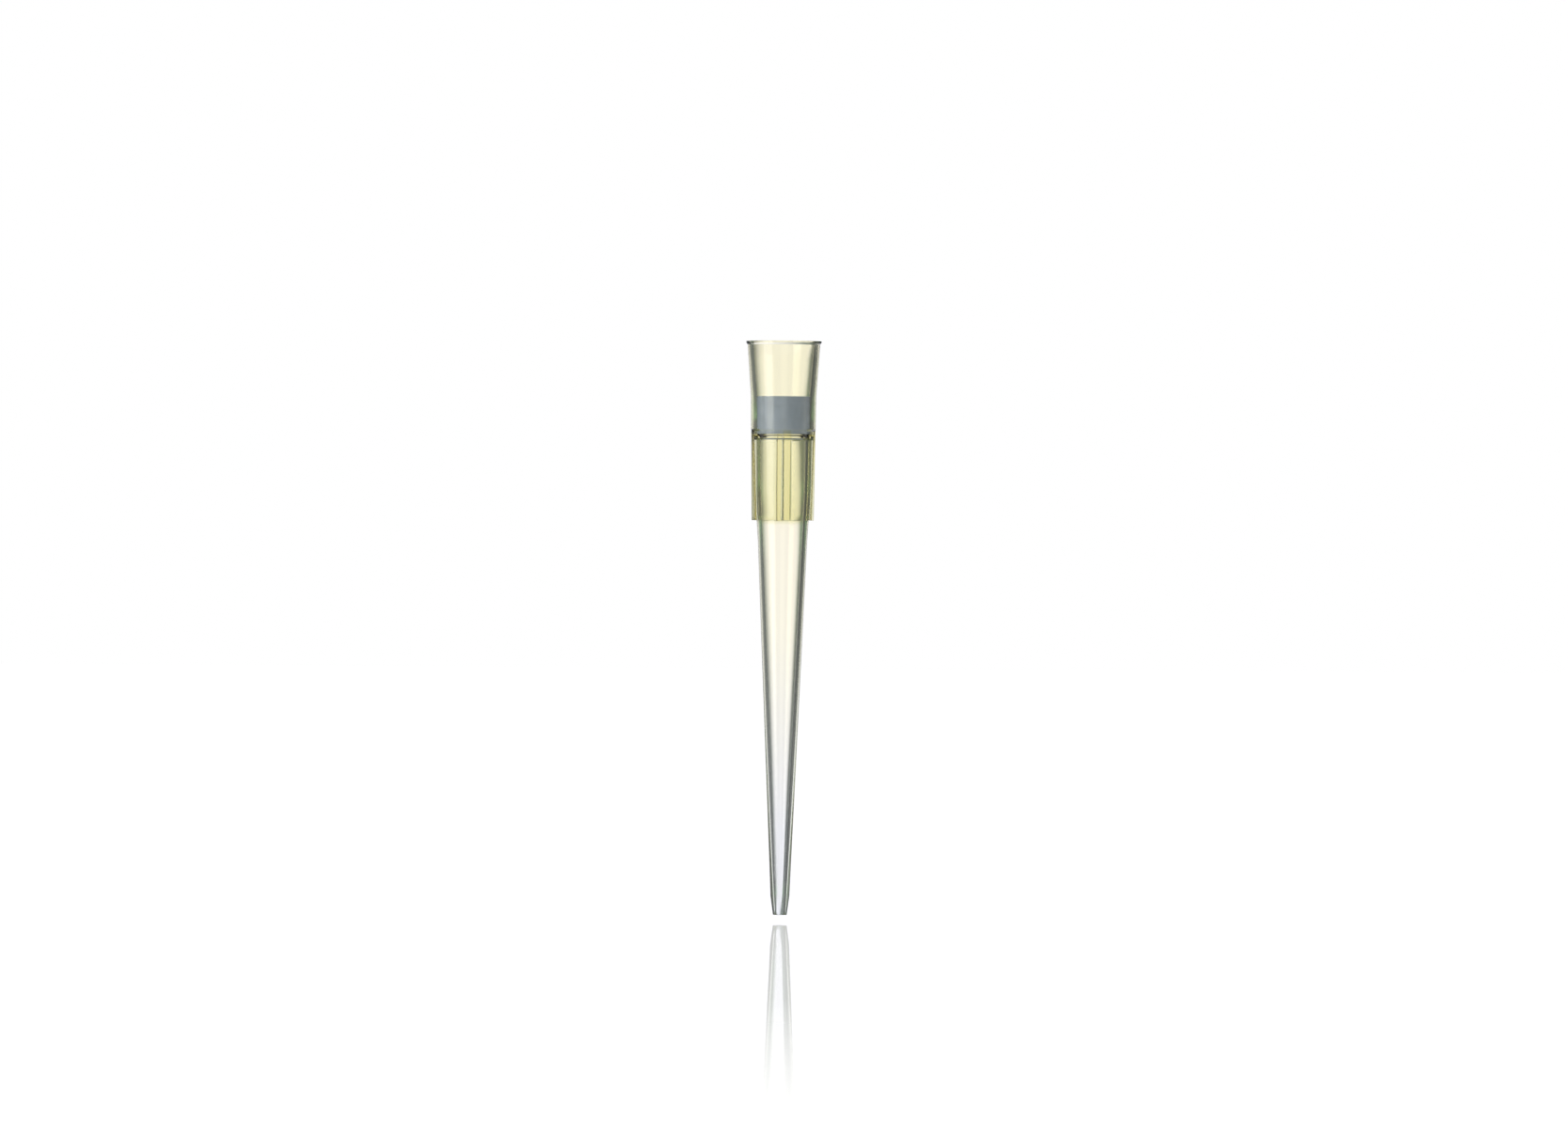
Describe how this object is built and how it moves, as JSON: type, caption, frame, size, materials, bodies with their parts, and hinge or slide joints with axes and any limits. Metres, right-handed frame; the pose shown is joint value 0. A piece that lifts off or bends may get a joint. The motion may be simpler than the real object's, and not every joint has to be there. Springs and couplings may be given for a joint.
{
  "type": "filter pipette tip",
  "caption": "Tapered translucent plastic pipette tip with a flared collar, short ribs under it, and a grey filter plug inside.",
  "frame": {"origin": "on the tip's axis, where the sealing land of the mouth starts, 1.4 mm inside the rim", "axes": "+Z runs along the axis and out of the mouth, so the narrow end points down as it does in use; the ribs stand on the X and Y axes"},
  "size_m": [0.0072, 0.0072, 0.054],
  "materials": {
    "clear_plastic": "glossy translucent moulded polypropylene, faintly yellow where it is thick",
    "filter": "matte blue-grey sintered polyethylene with a fine grain"
  },
  "bodies": {
    "root": {"tip_body": "clear_plastic", "filter_plug": "filter"}
  },
  "joints": []
}
